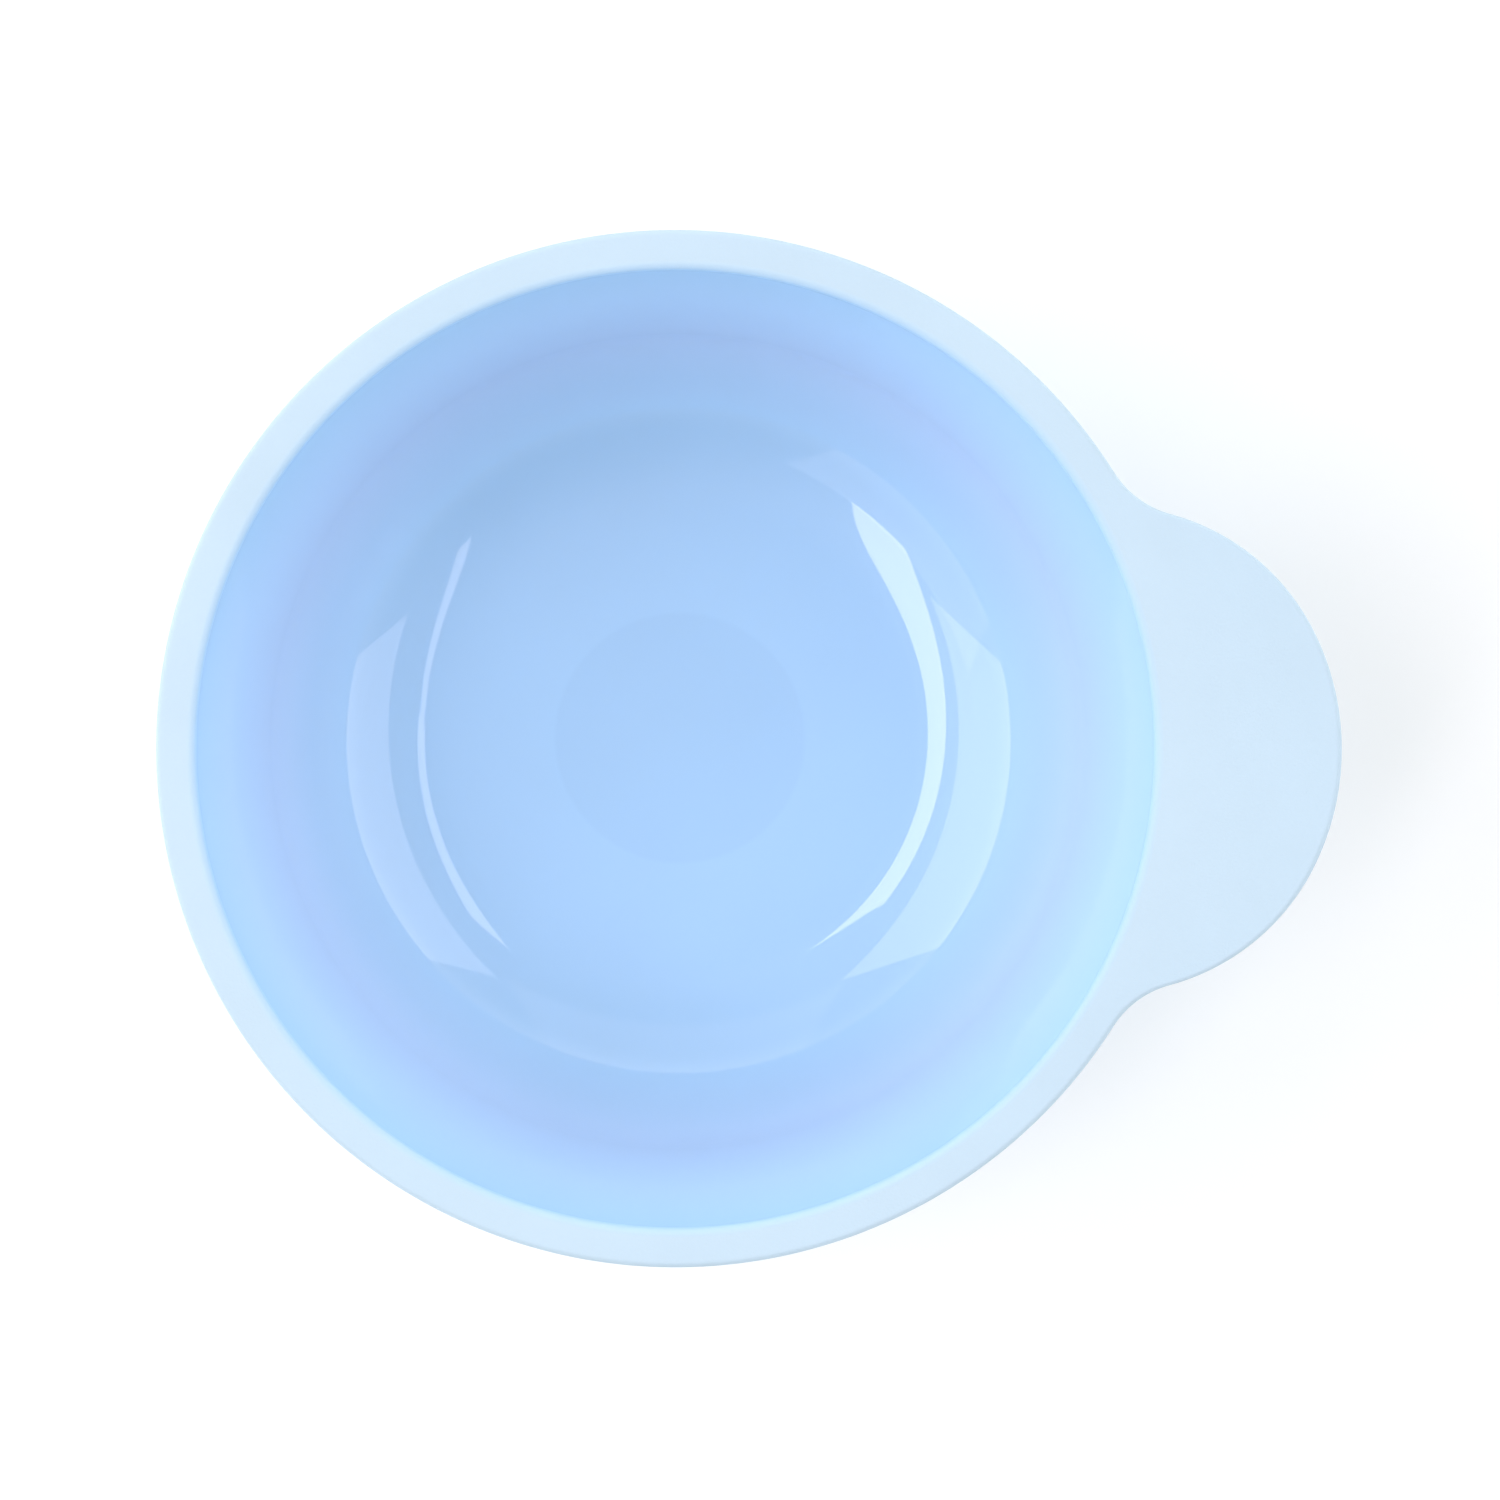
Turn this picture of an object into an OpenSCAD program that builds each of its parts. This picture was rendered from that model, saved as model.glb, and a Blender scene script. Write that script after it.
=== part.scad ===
// Hair color bowl: a rigid glossy dish, a soft cover over its rim and tab, and a
// non-slip ring in its foot. The origin is on the dish's axis, on the table.
// +Z is up and the tab points along +X.

/* [Dish] */
// Overall height, from the table to the top of the rim
height = 55; // [50:1:62]
// Outer diameter of the rim
rim_d = 130; // [128:1:136]
// Radius of the mouth, where the glossy wall meets the soft rim
mouth_r = 60; // [58:0.5:61]
// Radius of the flat floor
floor_r = 31; // [30:0.2:34]
// Height of the floor's upper face above the table
floor_z = 5.5; // [5:0.5:7]
// Radius of the corner between floor and wall
corner_r = 22.4; // [18:0.4:24]
// Thickness of the wall and the floor
wall_t = 2.2; // [1.8:0.1:2.4]
// Diameter of the shallow round in the middle of the floor
round_d = 33; // [20:1:50]
// Depth of the shallow round
round_depth = 0.1; // [0.1:0.1:0.6]

/* [Soft rim and tab] */
// How far the tab reaches past the rim
tab_reach = 18.5; // [16:0.5:24]
// Radius of the tab's tip
tip_r = 33.1; // [31:0.1:36]
// Radius of the tab's shoulders
shoulder_r = 28.5; // [26:0.1:30]
// Half the angle that the tip's arc covers
tip_angle = 26; // [20:1:32]
// Radius of the hollow corners where the tab meets the rim
blend_r = 12; // [8:1:16]
// Thickness of the soft rim and tab, top to bottom
rim_t = 3.8; // [3.6:0.1:5]
// Thickness of the soft cover above the rigid flange
cover_t = 1; // [0.8:0.1:1.2]
// Thickness of the rigid flange and tongue
flange_t = 1.6; // [1.2:0.1:1.8]
// How far the rigid flange stops inside the soft outline
flange_inset = 2; // [1.5:0.1:2.5]
// Radius of the rolled inner edge of the soft rim
roll_r = 1; // [0.6:0.1:1]
// Diameter of the plugs that lock the cover through the tongue
plug_d = 6; // [4:0.5:8]
// How far the plugs' centres stand in from the tab's tip
plug_inset = 9; // [8:0.5:10]
// Angle between the plugs, seen from the middle of the tip's arc
plug_angle = 50; // [40:1:55]

/* [Foot and ring] */
// Middle radius of the non-slip ring
ring_r = 32.8; // [31:0.1:34]
// Width of the non-slip ring at the mouth of its groove
ring_w = 5; // [4:0.1:6]
// How far the ring stands out below the foot
ring_proud = 0.9; // [0.9:0.1:1.4]
// Radius of the ring's lower edges
ring_edge_r = 0.8; // [0.3:0.1:0.8]
// How much wider the groove is at its bottom, on each side
groove_flare = 0.3; // [0:0.1:0.4]
// Thickness of the foot's outer wall
foot_outer_t = 2; // [1.5:0.1:2.5]
// Thickness of the foot's inner wall
foot_inner_t = 1.5; // [1.2:0.1:2]
// Diameter of the shallow well under the middle of the floor
well_d = 9; // [6:1:14]
// Depth of the well
well_depth = 0.5; // [0.2:0.1:0.8]

/* [Hidden] */
$fn = 96;
past = 1; // what a cut runs past a face by
rim_r = rim_d / 2;
shell_top = height - cover_t;
underside = floor_z - wall_t;
corner_z = floor_z + corner_r;
// outlines that would just touch are set this far into each other, so that they cross cleanly
dip = 0.02;
// the wall is the line from the mouth that touches the corner's circle
touch_r = corner_r - dip;
mouth_run = norm([mouth_r - floor_r, shell_top - corner_z]);
mouth_rise = atan2(shell_top - corner_z, mouth_r - floor_r);
wall_lean = acos(touch_r / mouth_run) - mouth_rise;
rim_bottom = height - rim_t;
flange_bottom = shell_top - flange_t;
ring_in = ring_r - ring_w / 2;
ring_out = ring_r + ring_w / 2;

// the tab: a tip arc between two shoulder arcs, and a hollow corner to the rim on each side
tip_x = rim_r + tab_reach - tip_r;
shoulder_c = [tip_x, 0] + (tip_r - shoulder_r) * [cos(tip_angle), sin(tip_angle)];
to_rim = rim_r + blend_r;
to_shoulder = shoulder_r + blend_r;
to_shoulder_c = norm(shoulder_c);
blend_at = atan2(shoulder_c[1], shoulder_c[0])
    + acos((to_rim ^ 2 + to_shoulder_c ^ 2 - to_shoulder ^ 2) / (2 * to_rim * to_shoulder_c));
blend_c = to_rim * [cos(blend_at), sin(blend_at)];
shoulder_end = atan2(blend_c[1] - shoulder_c[1], blend_c[0] - shoulder_c[0]);
tab_steps = 14; // flats in each of the tab's arcs
blend_short = 3; // degrees short of the rim that the hollow corner's arc stops, to dip inside it

// points along an arc, from one angle to another, without those before the first
function arc(centre, r, from, to, first = 0) =
    [for (i = [first : tab_steps])
        let (a = from + (to - from) * i / tab_steps)
        centre + r * [cos(a), sin(a)]];

function mirrored(points) = [for (i = [len(points) - 1 : -1 : 0]) [points[i][0], -points[i][1]]];

// one side of the tab's outline, moved in by inset, from the middle of the tip to the rim
function half_tab(inset) = concat(
    arc([tip_x, 0], tip_r - inset, 0, tip_angle),
    arc(shoulder_c, shoulder_r - inset, tip_angle, shoulder_end, 1),
    arc(blend_c, blend_r + inset, shoulder_end + 180, blend_at + 180 - blend_short, 1),
    [(rim_r - inset - dip) * [cos(blend_at), sin(blend_at)]]
);

// the rim and tab from above, moved in by inset
module plan(inset) {
    side = half_tab(inset);
    circle(r = rim_r - inset);
    polygon(concat([[0, 0]], mirrored(side), [for (i = [1 : len(side) - 1]) side[i]]));
}

// half the dish's section, from the axis out to a surface that stands off the inside by off
module dish_half(off) {
    touch = [floor_r, corner_z] + (touch_r + off) * [cos(wall_lean), -sin(wall_lean)];
    top = height + past;
    translate([0, floor_z - off]) square([floor_r, corner_r + off]);
    intersection() {
        translate([floor_r, corner_z]) circle(r = corner_r + off);
        square([mouth_r, top]);
    }
    polygon([
        [0, corner_z],
        [floor_r, corner_z],
        touch,
        touch + (top - touch[1]) * [tan(wall_lean), 1],
        [0, top]
    ]);
}

// the space inside the dish
module inside() {
    rotate_extrude() dish_half(0);
    translate([0, 0, floor_z - round_depth]) cylinder(d = round_d, h = corner_r);
}

// half the ring's section above from_z: its groove is wider at the bottom, so that it holds the ring
module groove_half(from_z) {
    polygon([
        [ring_in, from_z],
        [ring_out, from_z],
        [ring_out, ring_proud],
        [ring_out + groove_flare, underside],
        [ring_in - groove_flare, underside],
        [ring_in, ring_proud]
    ]);
}

// the holes through the tongue that the cover's plugs fill
module plug_holes() {
    for (a = [-plug_angle, 0, plug_angle])
        translate([tip_x, 0, flange_bottom - past]) rotate(a) translate([tip_r - plug_inset, 0, 0])
            cylinder(d = plug_d, h = flange_t + 2 * past);
}

// the flange and the tongue that the soft cover grips
module flange() {
    translate([0, 0, flange_bottom]) linear_extrude(flange_t) plan(flange_inset);
}

// the dish as a solid block, without its foot
module dish_block() {
    rotate_extrude() intersection() {
        dish_half(wall_t);
        square([rim_d, shell_top]);
    }
}

module foot_block() {
    foot_in = ring_in - foot_inner_t;
    foot_out = ring_out + foot_outer_t;
    rotate_extrude() translate([foot_in, ring_proud]) square([foot_out - foot_in, corner_z - ring_proud]);
}

module bowl_shell() {
    color("lightskyblue") difference() {
        union() {
            dish_block();
            foot_block();
            flange();
        }
        inside();
        rotate_extrude() groove_half(0);
        plug_holes();
        translate([0, 0, underside - past]) cylinder(d = well_d, h = well_depth + past);
    }
}

// what the rolled inner edge takes off the soft rim
module roll_cut() {
    rotate_extrude() difference() {
        translate([0, shell_top]) square([mouth_r + roll_r, cover_t + past]);
        translate([mouth_r + roll_r, height - roll_r]) circle(r = roll_r);
    }
}

module soft_rim() {
    color("aliceblue") difference() {
        translate([0, 0, rim_bottom]) linear_extrude(rim_t) plan(0);
        dish_block();
        roll_cut();
        difference() {
            flange();
            plug_holes();
        }
    }
}

module base_ring() {
    color("steelblue") rotate_extrude() {
        groove_half(ring_edge_r);
        translate([ring_in + ring_edge_r, 0]) square([ring_w - 2 * ring_edge_r, ring_edge_r * 2]);
        for (r = [ring_in + ring_edge_r, ring_out - ring_edge_r])
            translate([r, ring_edge_r]) circle(r = ring_edge_r);
    }
}

bowl_shell();
soft_rim();
base_ring();
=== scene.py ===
"""Hair color bowl: the visible model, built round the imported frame. Metres, +Z up, tab along +X."""
import math

import bpy
from mathutils import Matrix, Vector


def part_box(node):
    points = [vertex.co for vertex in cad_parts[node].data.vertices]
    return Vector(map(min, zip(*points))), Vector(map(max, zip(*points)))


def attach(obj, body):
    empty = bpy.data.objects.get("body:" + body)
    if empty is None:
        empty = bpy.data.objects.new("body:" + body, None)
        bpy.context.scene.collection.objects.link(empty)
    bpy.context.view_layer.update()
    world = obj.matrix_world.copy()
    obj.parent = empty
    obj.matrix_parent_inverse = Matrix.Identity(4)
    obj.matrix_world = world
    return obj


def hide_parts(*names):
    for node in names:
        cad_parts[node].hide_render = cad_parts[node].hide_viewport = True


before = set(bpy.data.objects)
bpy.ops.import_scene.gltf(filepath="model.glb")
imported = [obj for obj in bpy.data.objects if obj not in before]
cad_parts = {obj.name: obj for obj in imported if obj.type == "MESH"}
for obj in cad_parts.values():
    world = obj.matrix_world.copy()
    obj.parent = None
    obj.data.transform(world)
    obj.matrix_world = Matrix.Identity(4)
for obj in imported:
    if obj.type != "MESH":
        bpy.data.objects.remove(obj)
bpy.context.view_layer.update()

# ---------------------------------------------------------------- sizes

MM = 0.001
rim_low, rim_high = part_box("soft_rim")
shell_low, shell_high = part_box("bowl_shell")
ring_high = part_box("base_ring")[1]


def on_grid(value):
    """A size read off the frame's facets, brought back to the nearest tenth of a millimetre."""
    return round(value / MM, 1) * MM


RIM_R = on_grid(rim_high.y)
TAB_X = on_grid(rim_high.x)
RIM_TOP = on_grid(rim_high.z)
RIM_BOTTOM = on_grid(rim_low.z)
SHELL_TOP = on_grid(shell_high.z)
FOOT_Z = on_grid(shell_low.z)
UNDERSIDE = on_grid(ring_high.z)

# the dish
MOUTH_R = 60.0 * MM
FLOOR_R = 31.0 * MM
CORNER_R = 22.4 * MM
WALL_T = 2.2 * MM
FLOOR_Z = UNDERSIDE + WALL_T
ROUND_R = 16.5 * MM
ROUND_DEPTH = 0.1 * MM
ROUND_SLOPE = 2.0 * MM  # half the width over which the round's edge fades out
ROUND_BLEND_R = 40.0 * MM  # how gently that slope starts and ends
# the wall is the line from the mouth that touches the corner's circle, and this is how far it leans out
WALL_LEAN = (
    math.acos(CORNER_R / math.hypot(MOUTH_R - FLOOR_R, SHELL_TOP - FLOOR_Z - CORNER_R))
    - math.atan2(SHELL_TOP - FLOOR_Z - CORNER_R, MOUTH_R - FLOOR_R)
)

# the soft rim and tab
TIP_R = 33.1 * MM
SHOULDER_R = 28.5 * MM
TIP_ANGLE = math.radians(26)
BLEND_R = 12.0 * MM
ROLL_R = RIM_TOP - SHELL_TOP
ROLL_CUTS = 10
EDGE_R = 0.7 * MM
EDGE_CUTS = 8
FLANGE_T = 1.6 * MM
FLANGE_BOTTOM = SHELL_TOP - FLANGE_T
FLANGE_INSET = 2.0 * MM
FLANGE_EDGE_R = 0.3 * MM
SEAM_R = 0.1 * MM  # the fine edges where two pieces meet

# the foot and its ring
RING_FLARE = 0.3 * MM
RING_W = 5.0 * MM
RING_OUT = on_grid(ring_high.y) - RING_FLARE
RING_IN = RING_OUT - RING_W
RING_EDGE_R = 0.8 * MM
RING_GAP = 0.01 * MM  # keeps the ring's first and last points apart
FOOT_OUTER_T = 2.0 * MM
FOOT_INNER_T = 1.5 * MM
FOOT_OUT = RING_OUT + FOOT_OUTER_T
FOOT_IN = RING_IN - FOOT_INNER_T
FOOT_EDGE_R = 0.3 * MM
WELL_R = 4.5 * MM
WELL_DEPTH = 0.5 * MM
WELL_EDGE_R = 0.15 * MM

# how finely the surfaces are cut
TAB_HALF_ANGLE = math.radians(37)
TAB_CUTS = 184
PLAIN_CUTS = 236
ARC_CUTS = 6
CORNER_CUTS = 28
HOLD = 0.12 * MM  # how far from a rounded edge a straight stretch is cut, to keep it flat
ON_AXIS = 1e-9  # a point nearer the axis than this lies on it
SHARP_FROM = math.radians(35)  # edges that turn more than this stay crisp


# ---------------------------------------------------------------- outlines


def polar(point):
    return math.hypot(*point), math.atan2(point[1], point[0])


def tab_arcs():
    """The centres of the tab's arcs on its +Y side: the tip, the shoulder and the hollow corner."""
    tip_c = (TAB_X - TIP_R, 0.0)
    reach = TIP_R - SHOULDER_R
    shoulder_c = (tip_c[0] + reach * math.cos(TIP_ANGLE), reach * math.sin(TIP_ANGLE))
    far, turn = polar(shoulder_c)
    to_rim, to_shoulder = RIM_R + BLEND_R, SHOULDER_R + BLEND_R
    opening = math.acos((to_rim**2 + far**2 - to_shoulder**2) / (2 * to_rim * far))
    blend_c = (to_rim * math.cos(turn + opening), to_rim * math.sin(turn + opening))
    return tip_c, shoulder_c, blend_c


TIP_C, SHOULDER_C, BLEND_C = tab_arcs()


def ray_to_circle(angle, centre, radius, side):
    """How far along a ray from the axis a circle is met: side is 1 for the far side, -1 for the near one."""
    far, turn = polar(centre)
    across = far * math.sin(angle - turn)
    return far * math.cos(angle - turn) + side * math.sqrt(max(radius**2 - across**2, 0.0))


def plan_radius(angle, inset=0.0):
    """The distance from the axis to the outline of rim and tab, moved in by inset."""
    angle = abs(math.remainder(angle, 2 * math.pi))
    tip_r = TIP_R - inset
    tip_end = polar((TIP_C[0] + tip_r * math.cos(TIP_ANGLE), tip_r * math.sin(TIP_ANGLE)))[1]
    towards_blend = math.atan2(BLEND_C[1] - SHOULDER_C[1], BLEND_C[0] - SHOULDER_C[0])
    shoulder_end = polar((
        SHOULDER_C[0] + (SHOULDER_R - inset) * math.cos(towards_blend),
        SHOULDER_C[1] + (SHOULDER_R - inset) * math.sin(towards_blend),
    ))[1]
    if angle <= tip_end:
        return ray_to_circle(angle, TIP_C, tip_r, 1)
    if angle <= shoulder_end:
        return ray_to_circle(angle, SHOULDER_C, SHOULDER_R - inset, 1)
    if angle <= polar(BLEND_C)[1]:
        return ray_to_circle(angle, BLEND_C, BLEND_R + inset, -1)
    return RIM_R - inset


def cut_angles():
    """Angles round the axis, closer together along the tab."""
    tab = [-TAB_HALF_ANGLE + 2 * TAB_HALF_ANGLE * i / TAB_CUTS for i in range(TAB_CUTS)]
    rest = 2 * (math.pi - TAB_HALF_ANGLE)
    return tab + [TAB_HALF_ANGLE + rest * i / PLAIN_CUTS for i in range(PLAIN_CUTS)]


def arc(centre, radius, start, end, cuts=ARC_CUTS):
    """Points along an arc in a section, with angles from the outward direction."""
    angles = [start + (end - start) * i / cuts for i in range(cuts + 1)]
    return [(centre[0] + radius * math.cos(a), centre[1] + radius * math.sin(a)) for a in angles]


def rounded(corners):
    """A section's line through corners (r, z, radius[, cuts]), each rounded to its radius."""
    line = []
    for i, corner in enumerate(corners):
        here, radius = Vector(corner[:2]), corner[2]
        if radius == 0 or i in (0, len(corners) - 1):
            line.append(tuple(here))
            continue
        back = (Vector(corners[i - 1][:2]) - here).normalized()
        ahead = (Vector(corners[i + 1][:2]) - here).normalized()
        half = back.angle(ahead) / 2
        run = radius / math.tan(half)
        middle = here + (back + ahead).normalized() * (radius / math.sin(half))
        first = here + back * run - middle
        turn = first.angle_signed(here + ahead * run - middle)
        cuts = corner[3] if len(corner) > 3 else ARC_CUTS
        line.append(tuple(here + back * (run + HOLD)))
        for k in range(cuts + 1):
            cos, sin = math.cos(-turn * k / cuts), math.sin(-turn * k / cuts)
            spoke = Vector((first.x * cos - first.y * sin, first.x * sin + first.y * cos))
            line.append(tuple(middle + spoke))
        line.append(tuple(here + ahead * (run + HOLD)))
    return line


def outer_wall_r(z):
    """The radius of the wall's outer face at a height."""
    return MOUTH_R + WALL_T / math.cos(WALL_LEAN) - (SHELL_TOP - z) * math.tan(WALL_LEAN)


# ---------------------------------------------------------------- sections


def shell_section(angle):
    """From the middle of the floor over the flange and down the outside to the middle of the underside."""
    foot_of_wall = MOUTH_R - (SHELL_TOP - FLOOR_Z) * math.tan(WALL_LEAN)
    corner_c = (FLOOR_R, FLOOR_Z + CORNER_R)
    outer_r = CORNER_R + WALL_T
    flange_r = plan_radius(angle, FLANGE_INSET)
    inside = rounded([
        (0.0, FLOOR_Z - ROUND_DEPTH, 0),
        (ROUND_R - ROUND_SLOPE, FLOOR_Z - ROUND_DEPTH, ROUND_BLEND_R),
        (ROUND_R + ROUND_SLOPE, FLOOR_Z, ROUND_BLEND_R),
        (foot_of_wall, FLOOR_Z, CORNER_R, CORNER_CUTS),
        (MOUTH_R, SHELL_TOP, SEAM_R),
        (flange_r, SHELL_TOP, FLANGE_EDGE_R),
        (flange_r, FLANGE_BOTTOM, FLANGE_EDGE_R),
        (outer_wall_r(FLANGE_BOTTOM), FLANGE_BOTTOM, 0),
    ])
    foot_turn = -math.acos((FOOT_OUT - corner_c[0]) / outer_r)
    outside = arc(corner_c, outer_r, -WALL_LEAN, foot_turn, CORNER_CUTS)
    below = rounded([
        outside[-1] + (0,),
        (FOOT_OUT, FOOT_Z, FOOT_EDGE_R),
        (RING_OUT, FOOT_Z, 0),
        (RING_OUT + RING_FLARE, UNDERSIDE, 0),
        (RING_IN - RING_FLARE, UNDERSIDE, 0),
        (RING_IN, FOOT_Z, 0),
        (FOOT_IN, FOOT_Z, FOOT_EDGE_R),
        (FOOT_IN, UNDERSIDE, FOOT_EDGE_R),
        (WELL_R, UNDERSIDE, WELL_EDGE_R),
        (WELL_R, UNDERSIDE + WELL_DEPTH, WELL_EDGE_R),
        (0.0, UNDERSIDE + WELL_DEPTH, 0),
    ])
    return inside + outside[:-1] + below


def rim_section(angle):
    """Round the soft cover: over its top and edge, back under it, and round the flange that it grips."""
    edge, flange_r = plan_radius(angle), plan_radius(angle, FLANGE_INSET)
    roll = arc((MOUTH_R + ROLL_R, RIM_TOP - ROLL_R), ROLL_R, math.pi, math.pi / 2, ROLL_CUTS)
    return roll[:-1] + rounded([
        roll[-1] + (0,),
        (edge, RIM_TOP, EDGE_R, EDGE_CUTS),
        (edge, RIM_BOTTOM, EDGE_R, EDGE_CUTS),
        (outer_wall_r(RIM_BOTTOM), RIM_BOTTOM, SEAM_R),
        (outer_wall_r(FLANGE_BOTTOM), FLANGE_BOTTOM, 0),
        (flange_r, FLANGE_BOTTOM, 0),
        (flange_r, SHELL_TOP, 0),
        (MOUTH_R + SEAM_R, SHELL_TOP, 0),
    ])


def ring_section(angle):
    """Round the non-slip ring, which is wider at the top, where the foot's groove holds it."""
    return rounded([
        (RING_IN, FOOT_Z, 0),
        (RING_IN - RING_FLARE, UNDERSIDE, 0),
        (RING_OUT + RING_FLARE, UNDERSIDE, 0),
        (RING_OUT, FOOT_Z, 0),
        (RING_OUT, 0.0, RING_EDGE_R),
        (RING_IN, 0.0, RING_EDGE_R),
        (RING_IN, FOOT_Z - RING_GAP, 0),
    ])


def sweep(name, section):
    """A mesh of one section for each angle round the axis.

    A section that ends on the axis closes at a single point there, and any other joins its own start."""
    angles = cut_angles()
    sections = [section(a) for a in angles]
    count, turns = len(sections[0]), len(angles)
    ends_on_axis = abs(sections[0][0][0]) < ON_AXIS
    verts, rows = [], []
    for k in range(count):
        if abs(sections[0][k][0]) < ON_AXIS:
            rows.append([len(verts)] * turns)
            verts.append((0.0, 0.0, sections[0][k][1]))
            continue
        rows.append(list(range(len(verts), len(verts) + turns)))
        for a, line in zip(angles, sections):
            verts.append((line[k][0] * math.cos(a), line[k][0] * math.sin(a), line[k][1]))
    if not ends_on_axis:
        rows.append(rows[0])
    faces = []
    for low, high in zip(rows, rows[1:]):
        for i in range(turns):
            j = (i + 1) % turns
            corners = [low[i], low[j], high[j], high[i]]
            faces.append([v for n, v in enumerate(corners) if v != corners[n - 1]])
    mesh = bpy.data.meshes.new(name)
    mesh.from_pydata(verts, [], faces)
    mesh.validate()
    mesh.polygons.foreach_set("use_smooth", [True] * len(mesh.polygons))
    mesh.set_sharp_from_angle(angle=SHARP_FROM)
    piece = bpy.data.objects.new(name, mesh)
    bpy.context.scene.collection.objects.link(piece)
    return piece


# ---------------------------------------------------------------- materials


class Paint:
    """A material's node tree, with short ways to add the nodes that the materials share."""

    def __init__(self, name):
        self.material = bpy.data.materials.new(name)
        self.material.use_nodes = True
        self.tree = self.material.node_tree
        self.surface = self.tree.nodes["Principled BSDF"]
        self.place = self.tree.nodes.new("ShaderNodeTexCoord").outputs["Object"]

    def link(self, value, socket):
        if isinstance(value, bpy.types.NodeSocket):
            self.tree.links.new(value, socket)
        else:
            socket.default_value = value

    def math(self, operation, first, second=0.0):
        made = self.tree.nodes.new("ShaderNodeMath")
        made.operation = operation
        self.link(first, made.inputs[0])
        self.link(second, made.inputs[1])
        return made.outputs["Value"]

    def noise(self, grain, detail=3.0, stretch=(1, 1, 1)):
        """Noise from 0 to 1 whose features are about one grain across."""
        scaled = self.tree.nodes.new("ShaderNodeVectorMath")
        scaled.operation = "MULTIPLY"
        self.link(self.place, scaled.inputs[0])
        scaled.inputs[1].default_value = stretch
        made = self.tree.nodes.new("ShaderNodeTexNoise")
        self.link(scaled.outputs["Vector"], made.inputs["Vector"])
        made.inputs["Scale"].default_value = 1 / grain
        made.inputs["Detail"].default_value = detail
        return made.outputs["Fac"]

    def span(self, value, low, high, to_low, to_high):
        """Maps low..high to to_low..to_high, and holds the ends."""
        made = self.tree.nodes.new("ShaderNodeMapRange")
        self.link(value, made.inputs["Value"])
        made.inputs["From Min"].default_value = low
        made.inputs["From Max"].default_value = high
        made.inputs["To Min"].default_value = to_low
        made.inputs["To Max"].default_value = to_high
        return made.outputs["Result"]

    def specks(self, spacing, radius, share):
        """Small round specks of different sizes, on the given share of cells that are spacing apart."""
        made = self.tree.nodes.new("ShaderNodeTexVoronoi")
        self.link(self.place, made.inputs["Vector"])
        made.inputs["Scale"].default_value = 1 / spacing
        pick = self.tree.nodes.new("ShaderNodeSeparateColor")
        self.link(made.outputs["Color"], pick.inputs["Color"])
        chosen = self.math("LESS_THAN", pick.outputs["Red"], share)
        size = self.span(pick.outputs["Green"], 0, 1, 0.4 * radius / spacing, radius / spacing)
        near = self.math("SUBTRACT", size, made.outputs["Distance"])
        return self.math("MULTIPLY", chosen, self.span(near, 0, 0.3 * radius / spacing, 0, 1))

    def mix(self, amount, first, second):
        made = self.tree.nodes.new("ShaderNodeMix")
        made.data_type = "RGBA"
        self.link(amount, made.inputs["Factor"])
        self.link(first, made.inputs["A"])
        self.link(second, made.inputs["B"])
        return made.outputs["Result"]

    def height(self):
        """The height above the table."""
        split = self.tree.nodes.new("ShaderNodeSeparateXYZ")
        self.link(self.place, split.inputs["Vector"])
        return split.outputs["Z"]

    def radius(self):
        """The distance from the dish's axis."""
        split = self.tree.nodes.new("ShaderNodeSeparateXYZ")
        self.link(self.place, split.inputs["Vector"])
        squares = [self.math("MULTIPLY", split.outputs[axis], split.outputs[axis]) for axis in "XY"]
        return self.math("SQRT", self.math("ADD", *squares))

    def bump(self, value, depth, under=None):
        made = self.tree.nodes.new("ShaderNodeBump")
        made.inputs["Strength"].default_value = 1.0
        made.inputs["Distance"].default_value = depth
        self.link(value, made.inputs["Height"])
        if under is not None:
            self.link(under, made.inputs["Normal"])
        return made.outputs["Normal"]

    def finish(self, colour, roughness, normal, **constant):
        self.link(colour, self.surface.inputs["Base Color"])
        self.link(roughness, self.surface.inputs["Roughness"])
        self.link(normal, self.surface.inputs["Normal"])
        for name, value in constant.items():
            self.surface.inputs[name.replace("_", " ")].default_value = value
        return self.material


def tone(colour, factor=1.0):
    return tuple(c * factor for c in colour) + (1.0,)


def uneven(paint, noise, colour, stray):
    """A colour that strays darker and lighter with a noise."""
    return paint.mix(paint.span(noise, 0.3, 0.7, 0, 1), tone(colour, 1 - stray), tone(colour, 1 + stray))


SHELL_BLUE = (0.475, 0.74, 0.985)
PAINTED_WALL_LIGHT_BLUE = (0.64, 0.77, 0.985)  # painted light: the paler blue the lower wall is painted towards, for the brighter light on the walls
COVER_BLUE = (0.545, 0.715, 0.82)
RING_BLUE = (0.13, 0.30, 0.52)
DUST = (0.30, 0.33, 0.36)
FLOOR_TONES = ((0.85, 0.87, 0.84), (0.87, 0.89, 0.86))
UNEVEN = 0.015  # how far the blue of the dish and the cover strays to each side
RING_UNEVEN = 0.07
ROUND_EDGE = 0.3 * MM  # half the width over which the round's darker tone starts
SCUFF_HEIGHT = 2.2 * MM  # how far above the foot's lower face the scuffs reach
RUB_HEIGHT = 0.25 * MM  # how far above the table the ring is rubbed


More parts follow.
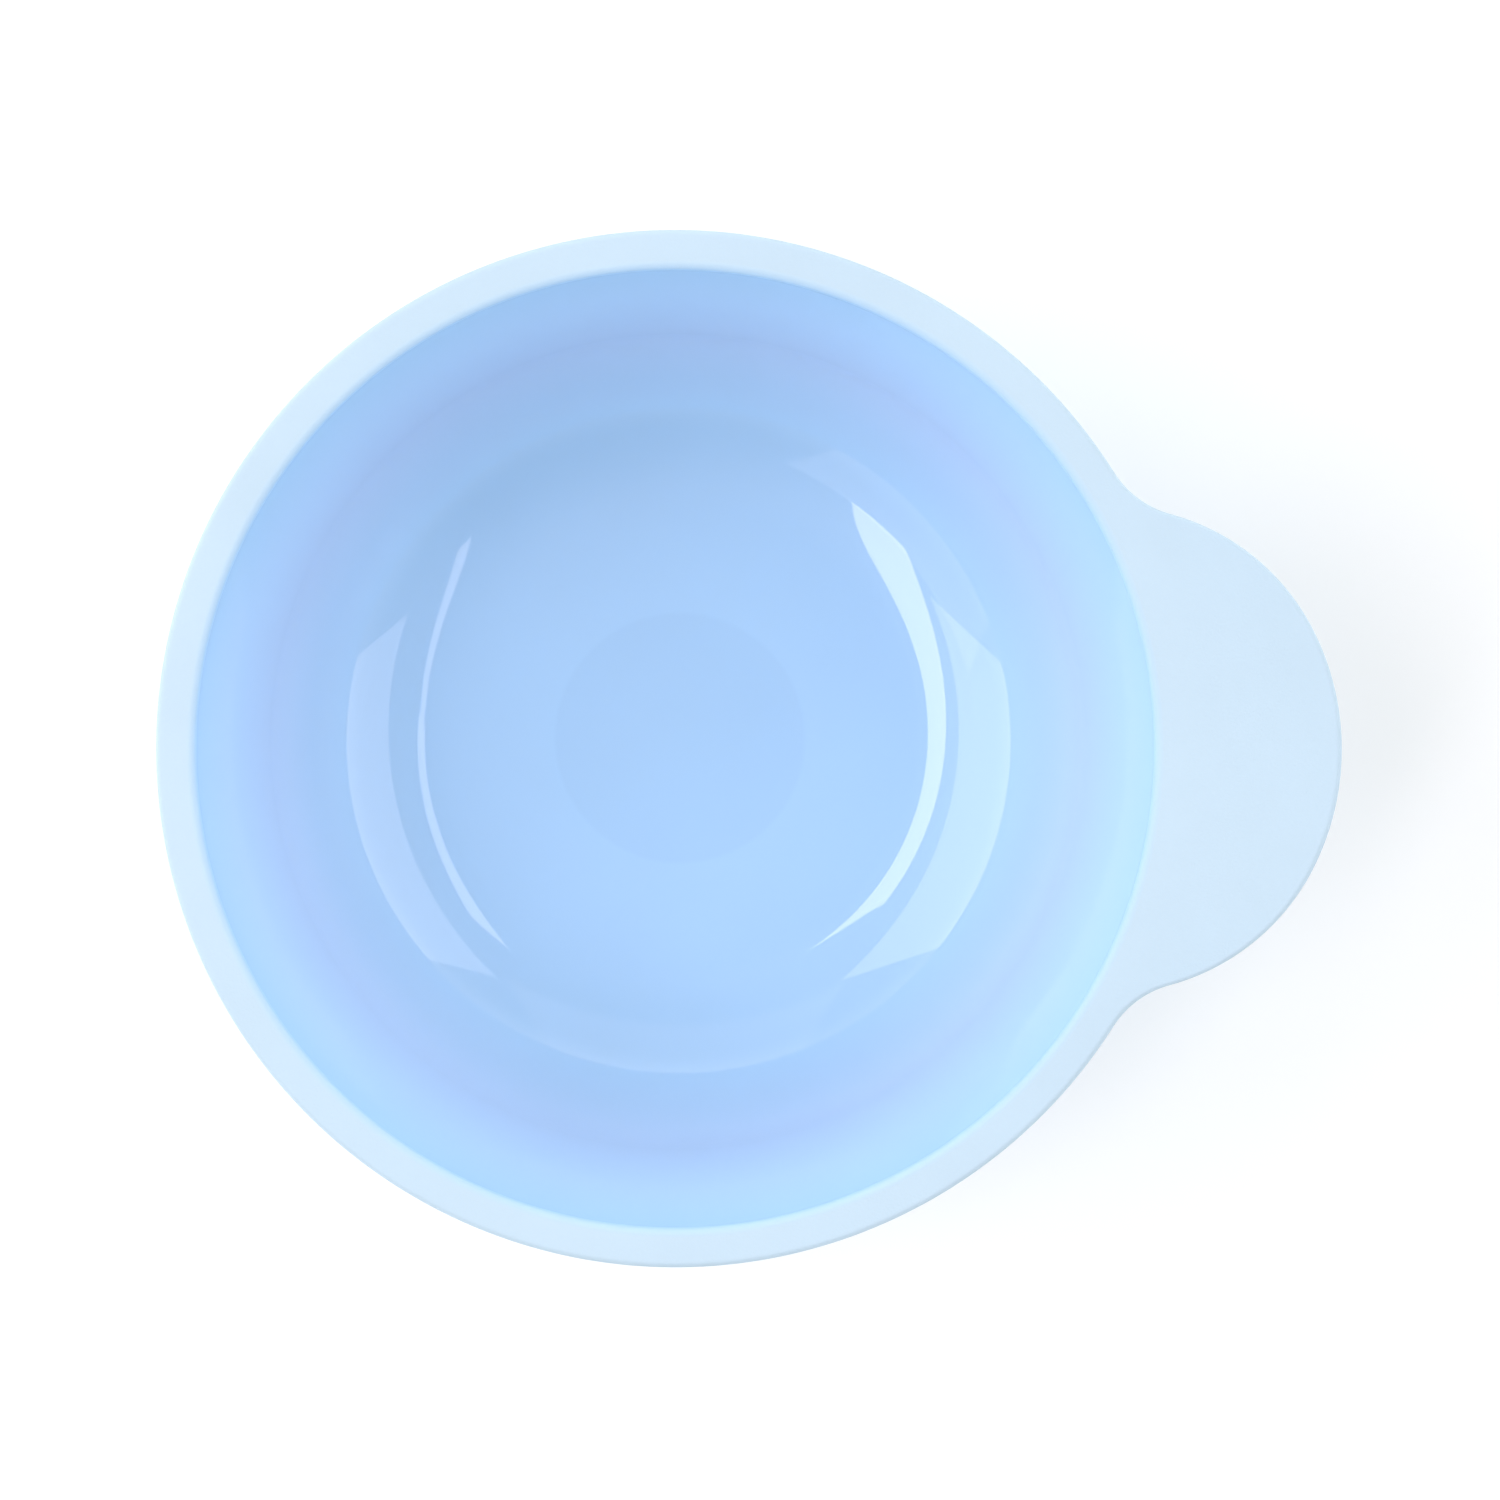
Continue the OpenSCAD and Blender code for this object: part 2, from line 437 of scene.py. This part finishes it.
def shell_material():
    """Glossy blue polypropylene: a clear sharp gloss over a hazy one, faint flow marks and a little dust.

    The round in the floor is slightly darker, and the lower wall is painted paler as painted light for the
    brighter light on the walls. The foot has the fine scuffs that such bowls get on the table and in the
    sink."""
    paint = Paint("shell_plastic")
    flow = paint.noise(28 * MM, 2.0, (1, 1, 0.35))
    colour = uneven(paint, flow, SHELL_BLUE, UNEVEN)
    middle = paint.span(paint.radius(), ROUND_R - ROUND_EDGE, ROUND_R + ROUND_EDGE, 0.06, 0)
    colour = paint.mix(middle, colour, tone(RING_BLUE))
    # painted light: the lower wall is painted towards a paler blue, standing in for the brighter light on
    # the dish's walls
    painted_light_rise = paint.span(paint.height(), FLOOR_Z + 0.15 * CORNER_R, FLOOR_Z + 0.7 * CORNER_R, 0, 0.8)
    painted_light_fall = paint.span(paint.height(), FLOOR_Z + 0.9 * CORNER_R, SHELL_TOP, 1, 0)
    wall = paint.math("MULTIPLY", painted_light_rise, painted_light_fall)
    colour = paint.mix(wall, colour, tone(PAINTED_WALL_LIGHT_BLUE))
    dust = paint.specks(9 * MM, 0.16 * MM, 0.10)
    colour = paint.mix(paint.math("MULTIPLY", dust, 0.25), colour, tone(DUST))
    low = paint.span(paint.height(), FOOT_Z, FOOT_Z + SCUFF_HEIGHT, 1, 0)
    scuff = paint.math("MULTIPLY", low, paint.span(paint.noise(0.9 * MM, 4.0), 0.52, 0.66, 0, 1))
    colour = paint.mix(paint.math("MULTIPLY", scuff, 0.22), colour, tone(COVER_BLUE))
    haze = paint.span(flow, 0.3, 0.7, 0.37, 0.43)
    roughness = paint.math("ADD", haze, paint.math("MULTIPLY", scuff, 0.2))
    ripple = paint.bump(paint.noise(5 * MM, 1.0), 0.010 * MM)
    normal = paint.bump(scuff, 0.02 * MM, ripple)
    return paint.finish(
        colour, roughness, normal, IOR=1.5, Coat_Weight=1.0, Coat_Roughness=0.03, Coat_IOR=1.6,
    )


def cover_material():
    """Matte soft-touch elastomer: a fine grain, a slightly uneven tone, and lint that clings to it.

    Its rolled inner edge is painted towards the dish's blue, as painted shade on its steep inward face."""
    paint = Paint("soft_cover")
    cloud = paint.noise(14 * MM, 3.0)
    grain = paint.noise(0.35 * MM, 2.0)
    colour = uneven(paint, cloud, COVER_BLUE, UNEVEN)
    colour = paint.mix(paint.span(grain, 0.35, 0.75, 0, 0.05), colour, tone(SHELL_BLUE))
    # painted shade: the roll is painted towards the dish's blue near the mouth, standing in for the shade on
    # its steep inward face
    painted_roll_shade = paint.span(paint.radius(), MOUTH_R, MOUTH_R + 1.2 * ROLL_R, 0.7, 0)
    colour = paint.mix(painted_roll_shade, colour, tone(SHELL_BLUE))
    lint = paint.specks(4.5 * MM, 0.17 * MM, 0.22)
    colour = paint.mix(paint.math("MULTIPLY", lint, 0.35), colour, tone(DUST))
    roughness = paint.span(grain, 0.3, 0.7, 0.58, 0.70)
    normal = paint.bump(lint, 0.04 * MM, paint.bump(grain, 0.035 * MM))
    return paint.finish(colour, roughness, normal, IOR=1.45)


def ring_material():
    """Deeper blue rubber, dulled and picked lighter where it rubs on the table."""
    paint = Paint("ring_rubber")
    grain = paint.noise(0.3 * MM, 3.0)
    patch = paint.noise(7 * MM, 4.0)
    low = paint.span(paint.height(), 0, RUB_HEIGHT, 1, 0)
    rubbed = paint.math("MULTIPLY", low, paint.span(patch, 0.4, 0.7, 0.2, 0.7))
    colour = uneven(paint, patch, RING_BLUE, RING_UNEVEN)
    colour = paint.mix(rubbed, colour, tone(SHELL_BLUE, 0.8))
    roughness = paint.span(grain, 0.3, 0.7, 0.62, 0.8)
    return paint.finish(colour, roughness, paint.bump(grain, 0.03 * MM), IOR=1.5)


# ---------------------------------------------------------------- stage

CAMERA_HEIGHT = 884 * MM  # above the rim, and nearly over the bowl
CAMERA_X = 12 * MM
CAMERA_Y = 28 * MM
VIEW_X = 9.4 * MM  # the point of the rim's plane at the middle of the frame
VIEW_WIDTH = 187.7 * MM  # what the frame takes in, in the rim's plane
SENSOR = 36.0
FLOOR_HALF = 3.0
FLOOR_GLOW = 0.16
LIGHT_TINT = (1.0, 0.93, 1.0)  # short of green, which stands in for the photo's flattened highlights
LIGHT_HEIGHT = 1.0  # above the rim
BANK_DISTANCE = 1.2  # from the middle of the rim's plane
WORLD_GLOW = 0.40
HORIZON_GLOW = 2.0
HORIZON_RISE = (0.06, 0.22)  # sines of the elevations between which the glow comes up
HORIZON_FADE = (0.15, 0.65)  # and between which it fades again
NEAR_FADE = (-0.75, 0.1)  # how far towards -Y the studio dims
NEAR_DIM = 0.55

# name, start and end seen from above, width, radiance
STRIPS = [
    ("left_strip", (-0.150, 0.100), (-0.553, -0.608), 0.20, 4.4),
    ("right_strip_far", (0.215, -0.05), (0.285, 0.27), 0.09, 2.7),
    ("right_strip_near", (0.20, -0.04), (0.515, -0.52), 0.05, 2.4),
]

# name, azimuth and angle from straight up in degrees, width, height, radiance
BANKS = [
    ("left_bank", 169, 50, 1.1, 1.0, 1.8),
    ("right_bank", 12, 54, 1.2, 0.84, 1.4),
    ("far_bank", 90, 50, 1.0, 0.8, 0.4),
    ("near_left_bank", 222, 58, 0.8, 0.9, 0.7),
]


def make_camera():
    data = bpy.data.cameras.new("camera")
    camera = bpy.data.objects.new("camera", data)
    bpy.context.scene.collection.objects.link(camera)
    place = Vector((CAMERA_X, CAMERA_Y, RIM_TOP + CAMERA_HEIGHT))
    aim = Vector((VIEW_X, 0.0, RIM_TOP))
    back = (place - aim).normalized()
    right = Vector((0, 1, 0)).cross(back).normalized()
    up = back.cross(right)
    camera.matrix_world = Matrix((right, up, back)).transposed().to_4x4()
    camera.location = place
    data.sensor_width = SENSOR
    data.lens = SENSOR * (aim - place).length / VIEW_WIDTH
    data.clip_start = 0.01
    data.clip_end = 20.0
    bpy.context.scene.camera = camera


def floor_material():
    """A white table, with a faint glow that keeps it as white as the photo's page."""
    paint = Paint("floor_white")
    cloud = paint.noise(200 * MM)
    colour = paint.mix(cloud, tone(FLOOR_TONES[0]), tone(FLOOR_TONES[1]))
    normal = paint.bump(cloud, 0.05 * MM)
    return paint.finish(colour, 0.9, normal, Emission_Color=(1, 1, 1, 1), Emission_Strength=FLOOR_GLOW)


def make_floor():
    mesh = bpy.data.meshes.new("floor")
    corners = [(x * FLOOR_HALF, y * FLOOR_HALF, 0) for x, y in ((-1, -1), (1, -1), (1, 1), (-1, 1))]
    mesh.from_pydata(corners, [], [(0, 1, 2, 3)])
    floor = bpy.data.objects.new("floor", mesh)
    bpy.context.scene.collection.objects.link(floor)
    mesh.materials.append(floor_material())


def rectangle_light(name, width, length, radiance):
    """An area light whose face is as bright as radiance, whatever its size."""
    data = bpy.data.lights.new(name, "AREA")
    data.shape = "RECTANGLE"
    data.size, data.size_y = width, length
    data.energy = radiance * width * length * math.pi
    data.color = LIGHT_TINT
    light = bpy.data.objects.new(name, data)
    bpy.context.scene.collection.objects.link(light)
    return light


def overhead_strip(name, start, end, width, radiance):
    """A strip light above the bowl that faces straight down, between two points of the ceiling plane."""
    start, end = Vector(start), Vector(end)
    light = rectangle_light(name, width, (end - start).length, radiance)
    light.location = ((start + end) / 2).to_3d() + Vector((0, 0, RIM_TOP + LIGHT_HEIGHT))
    run = end - start
    light.rotation_euler = (0, 0, math.atan2(run.y, run.x) - math.pi / 2)


def side_bank(name, azimuth, zenith, width, height, radiance):
    """A softbox beside the bowl that faces it, at an azimuth and an angle from straight up, in degrees."""
    light = rectangle_light(name, width, height, radiance)
    lean, turn = math.radians(zenith), math.radians(azimuth)
    away = Vector((math.sin(lean) * math.cos(turn), math.sin(lean) * math.sin(turn), math.cos(lean)))
    light.location = away * BANK_DISTANCE + Vector((0, 0, RIM_TOP))
    light.rotation_mode = "QUATERNION"
    light.rotation_quaternion = away.to_track_quat("Z", "Y")


def make_world():
    """A studio that is dim overhead and on the photographer's side, with a pale band above the horizon."""
    world = bpy.data.worlds.new("studio")
    world.use_nodes = True
    tree = world.node_tree
    place = tree.nodes.new("ShaderNodeTexCoord")
    split = tree.nodes.new("ShaderNodeSeparateXYZ")
    tree.links.new(place.outputs["Generated"], split.inputs["Vector"])

    def fade(value, low, high, to_low, to_high):
        made = tree.nodes.new("ShaderNodeMapRange")
        made.interpolation_type = "SMOOTHSTEP"
        made.inputs["From Min"].default_value = low
        made.inputs["From Max"].default_value = high
        made.inputs["To Min"].default_value = to_low
        made.inputs["To Max"].default_value = to_high
        tree.links.new(value, made.inputs["Value"])
        return made.outputs["Result"]

    def product(one, other):
        made = tree.nodes.new("ShaderNodeMath")
        made.operation = "MULTIPLY"
        tree.links.new(one, made.inputs[0])
        tree.links.new(other, made.inputs[1])
        return made.outputs["Value"]

    rise = fade(split.outputs["Z"], *HORIZON_RISE, WORLD_GLOW / HORIZON_GLOW, 1.0)
    fall = fade(split.outputs["Z"], *HORIZON_FADE, HORIZON_GLOW, WORLD_GLOW)
    near = fade(split.outputs["Y"], *NEAR_FADE, NEAR_DIM, 1.0)
    glow = product(product(rise, fall), near)
    tree.links.new(glow, tree.nodes["Background"].inputs["Strength"])
    tree.nodes["Background"].inputs["Color"].default_value = (1, 1, 1, 1)
    bpy.context.scene.world = world


def make_lights():
    make_world()
    for strip in STRIPS:
        overhead_strip(*strip)
    for bank in BANKS:
        side_bank(*bank)


# ---------------------------------------------------------------- the bowl

bpy.context.scene.view_settings.view_transform = "Standard"
make_camera()
make_floor()
make_lights()

PIECES = [
    ("dish", "bowl_shell", shell_section, shell_material, "shell_plastic"),
    ("rim_cover", "soft_rim", rim_section, cover_material, "soft_cover"),
    ("foot_ring", "base_ring", ring_section, ring_material, "ring_rubber"),
]

for name, cad_node, section, material, slot in PIECES:
    piece = sweep(name, section)
    piece.data.materials.append(material())
    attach(piece, "root")
    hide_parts(cad_node)

bpy.context.view_layer.update()
